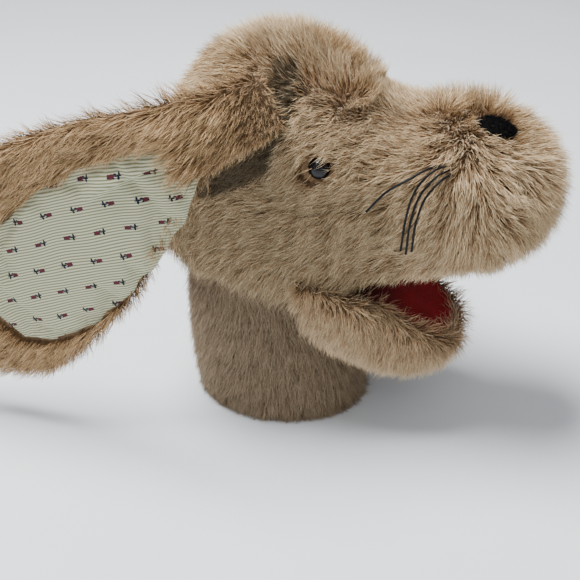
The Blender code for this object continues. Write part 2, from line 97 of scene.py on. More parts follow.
# Print on the cotton, in millimetres
STRIPE_PITCH = 1.55
STRIPE_TURN = math.radians(26.0)
SPRIG_SPACING = 17.5
SPRIG_ROWS = 14.0
SPRIG_SCALE = 1.08
STRIPE_WAVER = 5.0
SPRIG_BUD = (((1.8, 0.0), (1.5, 1.05)), ((3.0, 0.55), (0.6, 0.5)))  # centre and half-size of each ellipse
SPRIG_LEAVES = (
    ((-1.3, 0.0), (1.8, 0.38)), ((-1.9, 0.95), (0.50, 0.85)), ((-1.5, -0.9), (0.55, 0.80)),
    ((0.1, 0.75), (0.75, 0.40)), ((3.2, -0.35), (0.45, 0.40)), ((0.6, -0.8), (0.6, 0.3)),
)

# Pile, in metres where it is a length
STRAND_STEPS = 3
MOST_STRANDS = 36000  # in one piece
STRAND_WIDTH = 0.00036
TUFT_SIZE = 11  # strands
SHINY_FROM = 0.30  # strands darker than this are duller, as roots are
EYE_CLEAR = 0.0074  # no pile nearer than this to the middle of an eye
NOSE_CLEAR = 0.0108
STRAYS = 0.012  # share of strands left lying over the eyes and nose

# Camera
VIEW_AZIMUTH = math.radians(14.0)
VIEW_ELEVATION = math.radians(30.0)
VIEW_DISTANCE = 0.60
VIEW_SCALE = 0.00062  # metres across one of the picture's 580 columns, at the puppet
PICTURE = 580

# Whiskers, right side: routes from the part
WHISKER_DIAMETER = 0.0012
WHISKER_ROUTES = (
    (
        (88.5, -44.0, 168.5), (82.0, -51.0, 168.0), (74.5, -55.5, 164.0),
        (65.0, -57.0, 157.5), (56.0, -57.5, 146.5),
    ),
    (
        (91.5, -44.0, 168.5), (85.5, -50.5, 167.5), (78.5, -54.0, 158.5),
        (75.0, -55.0, 144.0), (73.5, -55.5, 126.5),
    ),
    (
        (93.0, -44.0, 166.5), (87.5, -50.5, 165.0), (80.8, -54.0, 156.0),
        (77.3, -55.0, 142.0), (76.2, -55.5, 125.0),
    ),
    (
        (94.5, -44.0, 164.5), (89.5, -50.5, 163.0), (83.3, -54.0, 154.5),
        (79.9, -55.5, 141.5), (79.0, -56.0, 127.0),
    ),
)

# Where painted shade goes: the head's pile is thinned and short dark pile laid, in front of and under an
# ear's root, in x and z
CREASE = ((13.0, 207.0), (11.5, 182.0), (3.0, 167.0), (-13.0, 155.0), (-27.0, 151.0))
CREASE_WIDTH = 0.0085

# Linear colours: root, middle and tip of a strand
TAN = ((0.150, 0.080, 0.035), (0.450, 0.292, 0.150), (0.720, 0.555, 0.345))
JAW_TAN = ((0.150, 0.085, 0.038), (0.420, 0.275, 0.145), (0.620, 0.460, 0.280))
EAR_TAN = ((0.125, 0.065, 0.026), (0.360, 0.215, 0.095), (0.560, 0.385, 0.200))
SLEEVE_TAN = ((0.095, 0.058, 0.032), (0.245, 0.168, 0.100), (0.390, 0.290, 0.185))
# Painted shade: the crease's pile is the head's tan at a fifth of its brightness, for the shadow in the
# crease
CREASE_SHADE_TAN = tuple(tuple(c * 0.20 for c in shade) for shade in TAN)
FLOCK = ((0.002, 0.002, 0.002), (0.004, 0.004, 0.004), (0.011, 0.011, 0.012))
COTTON_DARK = (0.205, 0.205, 0.120)
COTTON_LIGHT = (0.560, 0.560, 0.390)
NAVY = (0.010, 0.012, 0.030)
MAROON = (0.095, 0.018, 0.028)


# Numbers


def unit(v):
    return v / np.maximum(np.linalg.norm(v, axis=-1, keepdims=True), 1e-9)


def ramp(value, low, high):
    """0 below low, 1 above high, smooth between."""
    t = np.clip((value - low) / (high - low), 0.0, 1.0)
    return t * t * (3 - 2 * t)


def swirl(points, size, seed):
    """A smooth vector field of sines, about size metres from crest to crest."""
    rng = np.random.default_rng(seed)
    total = np.zeros_like(points)
    for _ in range(6):
        wave = unit(rng.normal(size=(1, 3))) * (2 * math.pi / size) * rng.uniform(0.6, 1.5)
        turn = unit(rng.normal(size=(1, 3)))
        total += np.sin(points @ wave.T + rng.uniform(0, 6.28)) * turn
    return total / 2.4


# Materials


def nodes_of(name):
    mat = bpy.data.materials.new(name)
    mat.use_nodes = True
    tree = mat.node_tree
    return mat, tree, tree.nodes["Principled BSDF"]


def link(tree, source, target):
    tree.links.new(source, target)


def math_node(tree, operation, a, b=None):
    node = tree.nodes.new("ShaderNodeMath")
    node.operation = operation
    for socket, value in zip(node.inputs, (a, b)):
        if value is None:
            continue
        if isinstance(value, (int, float)):
            socket.default_value = value
        else:
            link(tree, value, socket)
    return node.outputs[0]


def plus(tree, a, b):
    return math_node(tree, "ADD", a, b)


def times(tree, a, b):
    return math_node(tree, "MULTIPLY", a, b)


def noise(tree, scale, detail=3.0, coordinates=None):
    node = tree.nodes.new("ShaderNodeTexNoise")
    node.inputs["Scale"].default_value = scale
    node.inputs["Detail"].default_value = detail
    if coordinates is None:
        coordinates = tree.nodes.new("ShaderNodeTexCoord").outputs["Object"]
    link(tree, coordinates, node.inputs["Vector"])
    return node.outputs["Fac"]


def colours_between(tree, factor, low, high, start=0.3, stop=0.7):
    node = tree.nodes.new("ShaderNodeValToRGB")
    node.color_ramp.elements[0].position = start
    node.color_ramp.elements[1].position = stop
    node.color_ramp.elements[0].color = (*low, 1.0)
    node.color_ramp.elements[1].color = (*high, 1.0)
    link(tree, factor, node.inputs["Fac"])
    return node.outputs["Color"]


def bump(tree, shader, height, distance, strength=1.0):
    node = tree.nodes.new("ShaderNodeBump")
    node.inputs["Distance"].default_value = distance
    node.inputs["Strength"].default_value = strength
    link(tree, height, node.inputs["Height"])
    link(tree, node.outputs["Normal"], shader.inputs["Normal"])


def cloth_material(name, low, high, scale=900.0, roughness=0.92, sheen=0.2):
    """Fibrous cloth: two noises for colour and the finer one for bump."""
    mat, tree, shader = nodes_of(name)
    fine = noise(tree, scale, 6.0)
    broad = noise(tree, scale / 30, 3.0)
    mix = plus(tree, times(tree, fine, 0.6), times(tree, broad, 0.4))
    link(tree, colours_between(tree, mix, low, high, 0.35, 0.65), shader.inputs["Base Color"])
    shader.inputs["Roughness"].default_value = roughness
    shader.inputs["Specular IOR Level"].default_value = 0.2
    shader.inputs["Sheen Weight"].default_value = sheen
    bump(tree, shader, fine, 0.0004)
    return mat


def woven_material(name, low, high, pitch=0.0009):
    """Plain weave: crossed waves for the threads, noise for their unevenness."""
    mat, tree, shader = nodes_of(name)
    place = tree.nodes.new("ShaderNodeTexCoord").outputs["Object"]
    parts = tree.nodes.new("ShaderNodeSeparateXYZ")
    link(tree, place, parts.inputs[0])
    turns = 2 * math.pi / pitch
    around = plus(tree, parts.outputs["X"], parts.outputs["Y"])
    warp = math_node(tree, "SINE", times(tree, around, turns))
    weft = math_node(tree, "SINE", times(tree, parts.outputs["Z"], turns))
    weave = plus(tree, times(tree, times(tree, warp, weft), 0.3), 0.5)
    mix = plus(tree, times(tree, weave, 0.5), times(tree, noise(tree, 180.0), 0.5))
    link(tree, colours_between(tree, mix, low, high), shader.inputs["Base Color"])
    shader.inputs["Roughness"].default_value = 0.9
    bump(tree, shader, weave, 0.0002)
    return mat


def strand_materials(name, colours):
    """Root, middle and tip shades of three slightly different yarns."""
    slots = []
    for part, colour in zip(("root", "middle", "tip"), colours):
        for yarn, (light, warm) in enumerate(((0.64, 1.08), (1.0, 1.0), (1.18, 1.0))):
            mat, tree, shader = nodes_of(f"{name}_{part}_{yarn}")
            red, green, blue = (min(1.0, c * light) for c in colour)
            shader.inputs["Base Color"].default_value = (red, green, blue / warm, 1.0)
            shader.inputs["Roughness"].default_value = 0.62
            shine = min(1.0, max(colour) / SHINY_FROM)
            shader.inputs["Specular IOR Level"].default_value = 0.35 * shine
            shader.inputs["Sheen Weight"].default_value = 0.15 * shine
            bump(tree, shader, noise(tree, 2500.0, 2.0), 0.00005, 0.3)
            slots.append(mat)
    return slots


def mixed(tree, factor, low, high):
    """low where factor is 0 and high where it is 1; either is a colour or a socket."""
    node = tree.nodes.new("ShaderNodeMix")
    node.data_type = "RGBA"
    link(tree, factor, node.inputs[0])
    for socket, colour in ((node.inputs[6], low), (node.inputs[7], high)):
        if isinstance(colour, tuple):
            socket.default_value = (*colour, 1.0)
        else:
            link(tree, colour, socket)
    return node.outputs[2]


def blob(tree, x, y, centre, size):
    """1 inside an ellipse, 0 outside."""
    across = math_node(tree, "DIVIDE", math_node(tree, "SUBTRACT", x, centre[0]), size[0])
    upward = math_node(tree, "DIVIDE", math_node(tree, "SUBTRACT", y, centre[1]), size[1])
    square = plus(tree, times(tree, across, across), times(tree, upward, upward))
    return math_node(tree, "LESS_THAN", square, 1.0)


def any_blob(tree, x, y, shapes):
    total = 0.0
    for centre, size in shapes:
        total = math_node(tree, "MAXIMUM", blob(tree, x, y, centre, size), total)
    return total


def cotton_material():
    """Cream cotton with fine wavy stripes and staggered rows of small sprigs."""
    mat, tree, shader = nodes_of("sprigged_cotton")
    uv = tree.nodes.new("ShaderNodeTexCoord").outputs["UV"]
    parts = tree.nodes.new("ShaderNodeSeparateXYZ")
    link(tree, uv, parts.inputs[0])
    u = times(tree, parts.outputs["X"], 1000.0)
    v = times(tree, parts.outputs["Y"], 1000.0)
    c, s = math.cos(STRIPE_TURN), math.sin(STRIPE_TURN)
    p = plus(tree, times(tree, u, c), times(tree, v, s))
    q = math_node(tree, "SUBTRACT", times(tree, v, c), times(tree, u, s))
    q = plus(tree, q, times(tree, noise(tree, 24.0, 1.0, uv), STRIPE_WAVER))
    turns = times(tree, q, 2 * math.pi / STRIPE_PITCH)
    stripe = math_node(tree, "MULTIPLY_ADD", math_node(tree, "SINE", turns), 0.5)
    stripe.node.inputs[2].default_value = 0.5
    threads = noise(tree, 1600.0, 2.0, uv)
    tone = plus(tree, times(tree, stripe, 0.75), times(tree, threads, 0.25))
    ground = colours_between(tree, tone, COTTON_DARK, COTTON_LIGHT, 0.25, 0.75)
    rows = math_node(tree, "DIVIDE", q, SPRIG_ROWS)
    odd = math_node(tree, "FLOORED_MODULO", math_node(tree, "FLOOR", rows), 2.0)
    columns = plus(tree, math_node(tree, "DIVIDE", p, SPRIG_SPACING), times(tree, odd, 0.5))
    x = times(tree, math_node(tree, "SUBTRACT", math_node(tree, "FRACT", columns), 0.5), SPRIG_SPACING)
    y = times(tree, math_node(tree, "SUBTRACT", math_node(tree, "FRACT", rows), 0.5), SPRIG_ROWS)
    facing = math_node(tree, "SUBTRACT", 1.0, times(tree, odd, 2.0))
    x = times(tree, times(tree, x, facing), 1 / SPRIG_SCALE)
    y = times(tree, y, 1 / SPRIG_SCALE)
    bud = any_blob(tree, x, y, SPRIG_BUD)
    leaves = any_blob(tree, x, y, SPRIG_LEAVES)
    colour = mixed(tree, leaves, mixed(tree, bud, ground, MAROON), NAVY)
    link(tree, colour, shader.inputs["Base Color"])
    shader.inputs["Roughness"].default_value = 0.85
    shader.inputs["Specular IOR Level"].default_value = 0.2
    bump(tree, shader, tone, 0.00012)
    return mat


def felt_material():
    """Red wool felt, with painted shade darkening it towards the fold at the back of the mouth."""
    mat = cloth_material("red_felt_wool", (0.110, 0.003, 0.005), (0.290, 0.009, 0.013), 1100.0, 0.95, 0.0)
    tree = mat.node_tree
    shader = tree.nodes["Principled BSDF"]
    plain = shader.inputs["Base Color"].links[0].from_socket
    parts = tree.nodes.new("ShaderNodeSeparateXYZ")
    link(tree, tree.nodes.new("ShaderNodeTexCoord").outputs["Object"], parts.inputs[0])
    # Painted shade: the felt darkens to 0.12 of its colour towards the back of the mouth, from x = 78 mm in
    # to x = 50 mm
    depth = colours_between(tree, times(tree, parts.outputs["X"], 10.0), (0.12,) * 3, (1.0,) * 3, 0.50, 0.78)
    node = tree.nodes.new("ShaderNodeMix")
    node.data_type = "RGBA"
    node.blend_type = "MULTIPLY"
    node.inputs[0].default_value = 1.0
    link(tree, plain, node.inputs[6])
    link(tree, depth, node.inputs[7])
    link(tree, node.outputs[2], shader.inputs["Base Color"])
    return mat


def gloss_material():
    mat, tree, shader = nodes_of("black_bead")
    colour = colours_between(tree, noise(tree, 220.0), (0.003, 0.003, 0.004), (0.008, 0.008, 0.009))
    link(tree, colour, shader.inputs["Base Color"])
    shader.inputs["Roughness"].default_value = 0.08
    shader.inputs["Specular IOR Level"].default_value = 0.28
    return mat


def washer_material():
    mat, tree, shader = nodes_of("moulded_washer")
    grain = noise(tree, 500.0)
    colour = colours_between(tree, grain, (0.60, 0.60, 0.57), (0.70, 0.70, 0.68))
    link(tree, colour, shader.inputs["Base Color"])
    shader.inputs["Roughness"].default_value = 0.45
    bump(tree, shader, grain, 0.00008)
    return mat


# Pieces


def new_piece(name, mesh, body=None, replaced=()):
    ob = bpy.data.objects.new(name, mesh)
    bpy.context.scene.collection.objects.link(ob)
    if body:
        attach(ob, body)
    if replaced:
        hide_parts(*replaced)
    return ob


def mesh_from(name, points, faces, smooth=True):
    mesh = bpy.data.meshes.new(name)
    mesh.from_pydata([tuple(map(float, p)) for p in points], [], faces)
    mesh.update()
    if smooth:
        mesh.shade_smooth()
    return mesh


def baked(ob):
    """The object's mesh with its modifiers applied."""
    graph = bpy.context.evaluated_depsgraph_get()
    mesh = bpy.data.meshes.new_from_object(ob.evaluated_get(graph))
    ob.modifiers.clear()
    old, ob.data = ob.data, mesh
    bpy.data.meshes.remove(old)
    return ob


def joined(name, node_names):
    """One plain object with copies of these CAD nodes' meshes."""
    points, faces = [], []
    for node in node_names:
        mesh = NODES[node].data
        base = len(points)
        points += [tuple(v.co) for v in mesh.vertices]
        faces += [tuple(base + i for i in p.vertices) for p in mesh.polygons]
    return new_piece(name, mesh_from(name, points, faces))


def remeshed(name, node_names, voxel, smoothing=10):
    """The nodes' cloth as one soft, even skin."""
    ob = joined(name, node_names)
    weld = ob.modifiers.new("Weld", "WELD")
    weld.merge_threshold = 0.00002
    remesh = ob.modifiers.new("Remesh", "REMESH")
    remesh.mode = "VOXEL"
    remesh.voxel_size = voxel
    smooth = ob.modifiers.new("Smooth", "SMOOTH")
    smooth.factor = 0.5
    smooth.iterations = smoothing
    baked(ob)
    ob.data.shade_smooth()
    return ob


def refined(name, node, edge, ripple, seed=21):
    """A copy of a cloth node cut finer and rippled along its normals."""
    ob = joined(name, (node,))
    work = bmesh.new()
    work.from_mesh(ob.data)
    bmesh.ops.remove_doubles(work, verts=work.verts, dist=0.00002)
    for _ in range(7):
        bmesh.ops.triangulate(work, faces=work.faces)
        long_ones = [e for e in work.edges if e.calc_length() > edge]
        if not long_ones:
            break
        bmesh.ops.subdivide_edges(work, edges=long_ones, cuts=1)
    bmesh.ops.triangulate(work, faces=work.faces)
    work.normal_update()
    places = np.array([tuple(v.co) for v in work.verts])
    moves = swirl(places, 0.024, seed)[:, 0] * ripple
    for vertex, move in zip(work.verts, moves):
        vertex.co += vertex.normal * float(move)
    work.to_mesh(ob.data)
    work.free()
    ob.data.set_sharp_from_angle(angle=math.radians(50))
    return ob


def dressed(ob, body, mat, nodes):
    """Gives a piece its material and body and hides the CAD nodes it stands for."""
    ob.data.materials.clear()
    ob.data.materials.append(mat)
    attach(ob, body)
    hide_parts(*nodes)
    return ob


def thickened(ob, thick, offset=-1.0):
    solid = ob.modifiers.new("Solidify", "SOLIDIFY")
    solid.thickness = thick
    solid.offset = offset
    return baked(ob)


def grid(rows, columns):
    """Faces of a sheet of points kept row by row."""
    return [(r * columns + c, r * columns + c + 1, (r + 1) * columns + c + 1, (r + 1) * columns + c)
            for r in range(rows - 1) for c in range(columns - 1)]


class Surface:
    """A skin's triangles as arrays, with the ones that face open air."""

    def __init__(self, ob, open_air=True):
        mesh = ob.data
        mesh.calc_loop_triangles()
        self.points = np.empty(len(mesh.vertices) * 3)
        mesh.vertices.foreach_get("co", self.points)
        self.points = self.points.reshape(-1, 3)
        self.triangles = np.empty(len(mesh.loop_triangles) * 3, dtype=np.int64)
        mesh.loop_triangles.foreach_get("vertices", self.triangles)
        self.triangles = self.triangles.reshape(-1, 3)
        self.normals = np.empty(len(mesh.vertices) * 3)
        mesh.vertex_normals.foreach_get("vector", self.normals)
        self.normals = self.normals.reshape(-1, 3)
        a, b, c = (self.points[self.triangles[:, i]] for i in range(3))
        cross = np.cross(b - a, c - a)
        self.areas = np.linalg.norm(cross, axis=1) / 2
        self.centres = (a + b + c) / 3
        self.facing = unit(cross)
        if open_air:
            self.keep(self.in_open_air())

    def in_open_air(self):
        points = [tuple(p) for p in self.points]
        tree = BVHTree.FromPolygons(points, [tuple(map(int, t)) for t in self.triangles])
        free = np.ones(len(self.triangles), dtype=bool)
        for i, (centre, normal) in enumerate(zip(self.centres, self.facing)):
            start = Vector(centre + normal * 0.0010)
            free[i] = tree.ray_cast(start, Vector(normal), 0.15)[0] is None
        return free

    def outer(self, middle):
        """Which triangles face away from a point."""
        return np.sum((self.centres - np.array(middle)) * self.facing, axis=1) > 0.0

    def keep(self, chosen):
        for field in ("triangles", "areas", "centres", "facing"):
            setattr(self, field, getattr(self, field)[chosen])

    def sample(self, count, rng, density=None):
        weight = self.areas * (1.0 if density is None else density(self.centres))
        chosen = rng.choice(len(weight), size=count, p=weight / weight.sum())
        r = np.sqrt(rng.random(count))[:, None]
        s = rng.random(count)[:, None]
        a, b, c = (self.points[self.triangles[chosen, i]] for i in range(3))
        na, nb, nc = (self.normals[self.triangles[chosen, i]] for i in range(3))
        places = a * (1 - r) + b * r * (1 - s) + c * r * s
        normals = unit(na * (1 - r) + nb * r * (1 - s) + nc * r * s)
        return places, normals


def strand_paths(places, normals, groom, rng, spread, uneven):
    """Where strands run: out of the cloth, then over towards the brushed direction."""
    comb, length, lean_start, lean_end = groom(places, normals)
    side = unit(np.cross(normals, comb))
    angle = rng.normal(0.0, spread, len(places))[:, None]
    along = comb - normals * np.sum(comb * normals, axis=1, keepdims=True)
    flow = np.clip(np.linalg.norm(along, axis=1) / np.linalg.norm(comb, axis=1) / 0.6, 0.25, 1.0)
    comb = unit(along)
    comb = comb * np.cos(angle) + side * np.sin(angle)
    length = length * np.clip(np.exp(rng.normal(-uneven / 2, uneven, len(places))), 0.45, 1.25)
    tilt = rng.normal(0.0, spread * 0.5, len(places))
    path = [places - normals * 0.0005]
    for step in range(STRAND_STEPS):
        share = (step + 0.5) / STRAND_STEPS
        lean = ((lean_start + (lean_end - lean_start) * share) * flow + tilt)[:, None]
        step = normals * np.cos(lean) + comb * np.sin(lean)
        path.append(path[-1] + step * (length / STRAND_STEPS)[:, None])
    return np.stack(path, axis=1)


def strands(name, surface, count, groom, colours, body, seed, density=None, gather=0.55, width=1.0,
            clear=(), shade=None):
    """Pile on a surface, in as many pieces as its size needs."""
    rng = np.random.default_rng(seed)
    tuft_count = max(8, count // TUFT_SIZE)
    tuft_places, tuft_normals = surface.sample(tuft_count, rng, density)
    tuft_paths = strand_paths(tuft_places, tuft_normals, groom, rng, 0.30, 0.14)
    tree = KDTree(tuft_count)
    for i, place in enumerate(tuft_places):
        tree.insert(place, i)
    tree.balance()
    places, normals = surface.sample(count, rng, density)
    paths = strand_paths(places, normals, groom, rng, 0.26, 0.22)
    nearest = np.array([tree.find(p)[1] for p in places])
    pull = gather * np.linspace(0.0, 1.0, STRAND_STEPS + 1) ** 1.2
    near = np.exp(-np.linalg.norm(places - tuft_places[nearest], axis=1) / 0.006)
    paths += (tuft_paths[nearest] - paths) * pull[None, :, None] * near[:, None, None]
    paths += rng.normal(0.0, 0.00045, paths.shape) * np.array([0.0, 0.5, 1.0, 1.4])[None, :, None]
    paths[:, :, 2] = np.maximum(paths[:, :, 2], 0.0004)
    for centre, radius in clear:
        apart = np.linalg.norm(paths - np.array(centre), axis=2).min(axis=1)
        stays = (apart > radius) | (rng.random(len(paths)) < STRAYS)
        paths, places, normals = paths[stays], places[stays], normals[stays]
    count = len(paths)
    yarn = rng.choice(3, size=count, p=(0.22, 0.46, 0.32))
    # On the head, shade switches strands on the lower cheeks to the darkest yarn, as painted shade
    if shade:
        yarn[rng.random(count) < shade(places)] = 0
    slots = strand_materials(name, colours)
    made = []
    order = np.argsort(places[:, 1], kind="stable")
    parts = np.array_split(order, max(1, math.ceil(count / MOST_STRANDS)))
    for number, part in enumerate(parts, 1):
        full = name if len(parts) == 1 else f"{name}_{number}"
        mesh = blades(full, paths[part], normals[part], yarn[part], rng, width)
        for mat in slots:
            mesh.materials.append(mat)
        made.append(new_piece(full, mesh, body))
    return made


def blades(name, paths, normals, yarn, rng, width):
    """Tapered blades along the paths. Each has a pair of points at every step and one at its tip."""
    count, rows = paths.shape[0], STRAND_STEPS
    along = unit(np.diff(paths, axis=1))
    flat = unit(np.cross(along[:, 0], normals) + 1e-6)
    turn = rng.normal(0.0, 0.75, count)[:, None]
    across = unit(flat * np.cos(turn) + np.cross(along[:, 0], flat) * np.sin(turn))
    half = STRAND_WIDTH * width / 2 * rng.uniform(0.7, 1.3, count)
    taper = np.array([1.0, 0.85, 0.5])
    left = paths[:, :rows] - across[:, None] * (half[:, None] * taper)[:, :, None]
    right = paths[:, :rows] + across[:, None] * (half[:, None] * taper)[:, :, None]
    each = 2 * rows + 1
    points = np.empty((count, each, 3))
    points[:, 0 : 2 * rows : 2] = left
    points[:, 1 : 2 * rows : 2] = right
    points[:, -1] = paths[:, -1]
    base = (np.arange(count) * each)[:, None]
    loops = []
    for row in range(rows - 1):
        a = 2 * row
        loops.append(base + np.array([a, a + 1, a + 3, a + 2]))
    last = 2 * (rows - 1)
    loops.append(base + np.array([last, last + 1, last + 2]))
    corner_rows = np.concatenate(loops, axis=1)
    sizes = np.tile([4] * (rows - 1) + [3], count)
    mesh = bpy.data.meshes.new(name)
    mesh.vertices.add(count * each)
    mesh.vertices.foreach_set("co", points.ravel().astype(np.float32))
    mesh.loops.add(corner_rows.size)
    mesh.loops.foreach_set("vertex_index", corner_rows.ravel().astype(np.int32))
    mesh.polygons.add(len(sizes))
    mesh.polygons.foreach_set("loop_start", np.concatenate([[0], np.cumsum(sizes)[:-1]]).astype(np.int32))
    shade = (np.arange(rows)[None, :] * 3 + yarn[:, None]).ravel()
    mesh.polygons.foreach_set("material_index", shade.astype(np.int32))
    mesh.update(calc_edges=True)
    mesh.validate()
    mesh.shade_smooth()
    return mesh


# How each part is brushed: direction, length and lean at the root and tip of a strand


def groom_head(p, n):
    muzzle = ramp(p[:, 0], 0.060, 0.120)[:, None]
    crown = ramp(p[:, 2], 0.180, 0.205)[:, None] * (1 - ramp(p[:, 0], 0.030, 0.060)[:, None])
    nape = (1 - ramp(p[:, 0], -0.055, -0.020))[:, None]
    fringe = (1 - ramp(p[:, 2], 0.090, 0.115)) * (1 - ramp(p[:, 0], 0.030, 0.060))
    back = np.array([[-0.80, 0.0, -0.55]])
    down = np.array([[0.0, 0.0, -1.0]])
    sweep = np.array([[0.20, 0.0, -0.90]])
    comb = back * (1 - muzzle) + sweep * muzzle
    comb = comb * (1 - nape) + down * nape
    comb = comb + down * fringe[:, None] * 0.8
    front = ramp(n[:, 0], 0.45, 0.85)[:, None]
    comb = comb + down * front
    stir = swirl(p, 0.040, 3) * (0.45 + 0.9 * crown + 0.6 * muzzle) + swirl(p, 0.014, 4) * 0.35
    comb = comb + stir * (1 - 0.75 * front)
    chin = muzzle[:, 0] * (1 - ramp(p[:, 2], 0.108, 0.135))
    length = 0.0125 + 0.003 * muzzle[:, 0] + 0.002 * crown[:, 0] + 0.005 * fringe - 0.0055 * chin
    beside = ramp(np.abs(p[:, 1]), 0.026, 0.036) * (1 - ramp(p[:, 0], 0.004, 0.018))
    pressed = beside * ramp(p[:, 2], 0.138, 0.160)
    length = length * (1 - 0.55 * pressed)
    lift = np.maximum(crown[:, 0], muzzle[:, 0])
    return comb, length, 0.95 - 0.40 * lift, 1.30 - 0.42 * lift


def crease(p):
    """1 on the crease in front of and under an ear's root, where pile is painted dark for shade, 0 away from
    it.
    """
    line = np.array(CREASE) * MM
    flat = p[:, [0, 2]]
    nearest = np.full(len(p), 1.0)
    for a, b in zip(line, line[1:]):
        share = np.clip((flat - a) @ (b - a) / np.dot(b - a, b - a), 0.0, 1.0)[:, None]
        nearest = np.minimum(nearest, np.linalg.norm(flat - a - (b - a) * share, axis=1))
    return (1 - ramp(nearest, CREASE_WIDTH * 0.5, CREASE_WIDTH)) * ramp(np.abs(p[:, 1]), 0.020, 0.030)


def cheek_painted_shade(p):
    """The share of strands of the darkest yarn: most on the lower cheeks, which is painted shade, few on the
    crown and muzzle, plus loose random patches.
    """
    low = 1 - ramp(p[:, 2], 0.135, 0.185)
    middle = ramp(p[:, 0], -0.080, -0.040) * (1 - ramp(p[:, 0], 0.055, 0.090))
    return 0.70 * low * middle + 0.22 * np.clip(swirl(p, 0.035, 12)[:, 0], 0.0, 1.0)


def groom_crease(p, n):
    comb, _, start, end = groom_head(p, n)
    return comb, np.full(len(p), 0.0085), start - 0.1, end


def groom_sleeve(p, n):
    comb = np.array([[-0.02, 0.0, -1.0]]) + swirl(p, 0.060, 5) * 0.18
    return comb, np.full(len(p), 0.0150), np.full(len(p), 1.02), np.full(len(p), 1.36)


def groom_jaw(p, n):
    comb = np.array([[-0.15, 0.0, -0.90]]) + swirl(p, 0.040, 7) * 0.40
    return comb, np.full(len(p), 0.0135), np.full(len(p), 0.75), np.full(len(p), 1.12)


def groom_ear(spine, side):
    """Brushed along the ear, from its root towards its tip, and fuller near the root."""
    root = np.array([EAR_ROOT[0], side * EAR_ROOT[1], EAR_ROOT[2]]) * MM

    def groom(p, n):
        near = 1 - ramp(np.linalg.norm(p - root, axis=1), 0.035, 0.085)
        comb = np.array([spine]) + swirl(p, 0.050, 9) * 0.45 + swirl(p, 0.015, 10) * 0.30
        edge = near * ramp(n[:, 0], 0.10, 0.50) * (p[:, 0] > -0.020)
        length = (0.0125 + 0.0045 * near) * (1 - 0.62 * edge)
        return comb, length, 0.80 - 0.35 * near, 1.18 - 0.28 * near

    return groom


# Camera, light and floor


def add_camera():
    a, e = VIEW_AZIMUTH, VIEW_ELEVATION
    back = Vector((math.sin(a) * math.cos(e), -math.cos(a) * math.cos(e), math.sin(e)))
    right = Vector((math.cos(a), math.sin(a), 0.0))
    up = back.cross(right)
    data = bpy.data.cameras.new("camera")
    data.sensor_width = 36.0
    data.lens = VIEW_DISTANCE / VIEW_SCALE / PICTURE * data.sensor_width
    data.clip_start, data.clip_end = 0.01, 20.0
    camera = bpy.data.objects.new("camera", data)
    bpy.context.scene.collection.objects.link(camera)
    target = right * (6 * VIEW_SCALE) + up * (88 * VIEW_SCALE)
    camera.location = target + back * VIEW_DISTANCE
    camera.rotation_euler = (-back).to_track_quat("-Z", "Y").to_euler()
    bpy.context.scene.camera = camera


def add_light(name, place, aim, size, power):
    data = bpy.data.lights.new(name, "AREA")
    data.shape = "DISK"
    data.size, data.energy = size, power
    ob = bpy.data.objects.new(name, data)
    bpy.context.scene.collection.objects.link(ob)
    ob.location = place
    ob.rotation_euler = (Vector(place) - Vector(aim)).to_track_quat("Z", "Y").to_euler()


def add_studio():
    world = bpy.data.worlds.new("studio")
    bpy.context.scene.world = world
    world.use_nodes = True
    world.node_tree.nodes["Background"].inputs["Color"].default_value = (0.93, 0.96, 1.0, 1.0)
    world.node_tree.nodes["Background"].inputs["Strength"].default_value = 0.52
    add_light("window", (-0.38, -0.05, 1.40), (0.0, 0.0, 0.1), 0.8, 47.0)
    add_light("fill", (0.1, -1.3, 1.0), (0.0, 0.0, 0.1), 1.0, 3.0)
    mat, tree, shader = nodes_of("floor")
    colour = colours_between(tree, noise(tree, 6.0), (0.79, 0.825, 0.86), (0.84, 0.87, 0.90))
    link(tree, colour, shader.inputs["Base Color"])
    shader.inputs["Roughness"].default_value = 0.75
    corners = [(-4, -4, 0), (4, -4, 0), (4, 4, 0), (-4, 4, 0)]
    floor = new_piece("floor", mesh_from("floor", corners, [(0, 1, 2, 3)]))
    floor.data.materials.append(mat)


# Whiskers


def smooth_route(route, count):
    """Points along a Catmull-Rom curve through the route's own points."""
    points = [Vector(p) for p in route]
    ends = [points[0] * 2 - points[1]] + points + [points[-1] * 2 - points[-2]]
    dense = []
    for a, b, c, d in zip(ends, ends[1:], ends[2:], ends[3:]):
        for i in range(20):
            t = i / 20
            dense.append(
                b + (c - a) * (t / 2) + (2 * a - 5 * b + 4 * c - d) * (t * t / 2)
                + (3 * b - a - 3 * c + d) * (t**3 / 2)
            )
    dense.append(points[-1])
    lengths = np.concatenate([[0.0], np.cumsum([(q - p).length for p, q in zip(dense, dense[1:])])])
    marks = np.linspace(0.0, lengths[-1], count)
    line = [Vector([np.interp(m, lengths, [p[k] for p in dense]) for k in range(3)]) for m in marks]
    return line, float(lengths[-1])


def thread_material():
    mat, tree, shader = nodes_of("waxed_thread")
    twist = noise(tree, 1800.0, 2.0)
    colour = colours_between(tree, twist, (0.002, 0.002, 0.002), (0.006, 0.006, 0.007))
    link(tree, colour, shader.inputs["Base Color"])
    shader.inputs["Roughness"].default_value = 0.45
    shader.inputs["Specular IOR Level"].default_value = 0.2
    bump(tree, shader, twist, 0.0002)
    return mat


def add_whiskers():
    mat = thread_material()
    for side, word in ((1, "right"), (-1, "left")):
        for number, route in enumerate(WHISKER_ROUTES, 1):
            line, length = smooth_route([(x * MM, y * side * MM, z * MM) for x, y, z in route], 24)
            name = f"{word}_whisker_thread_{number}"
            curve = bpy.data.curves.new(name, "CURVE")
            curve.dimensions = "3D"
            curve.bevel_depth = WHISKER_DIAMETER / 2
            curve.bevel_resolution = 3
            curve.use_fill_caps = True
            spline = curve.splines.new("POLY")
            spline.points.add(len(line) - 1)
            for target, point in zip(spline.points, line):
                target.co = (*point, 1.0)
            curve.materials.append(mat)
            ob = new_piece(name, curve, "head", (f"{word}_whisker_{number}",))


# Plush


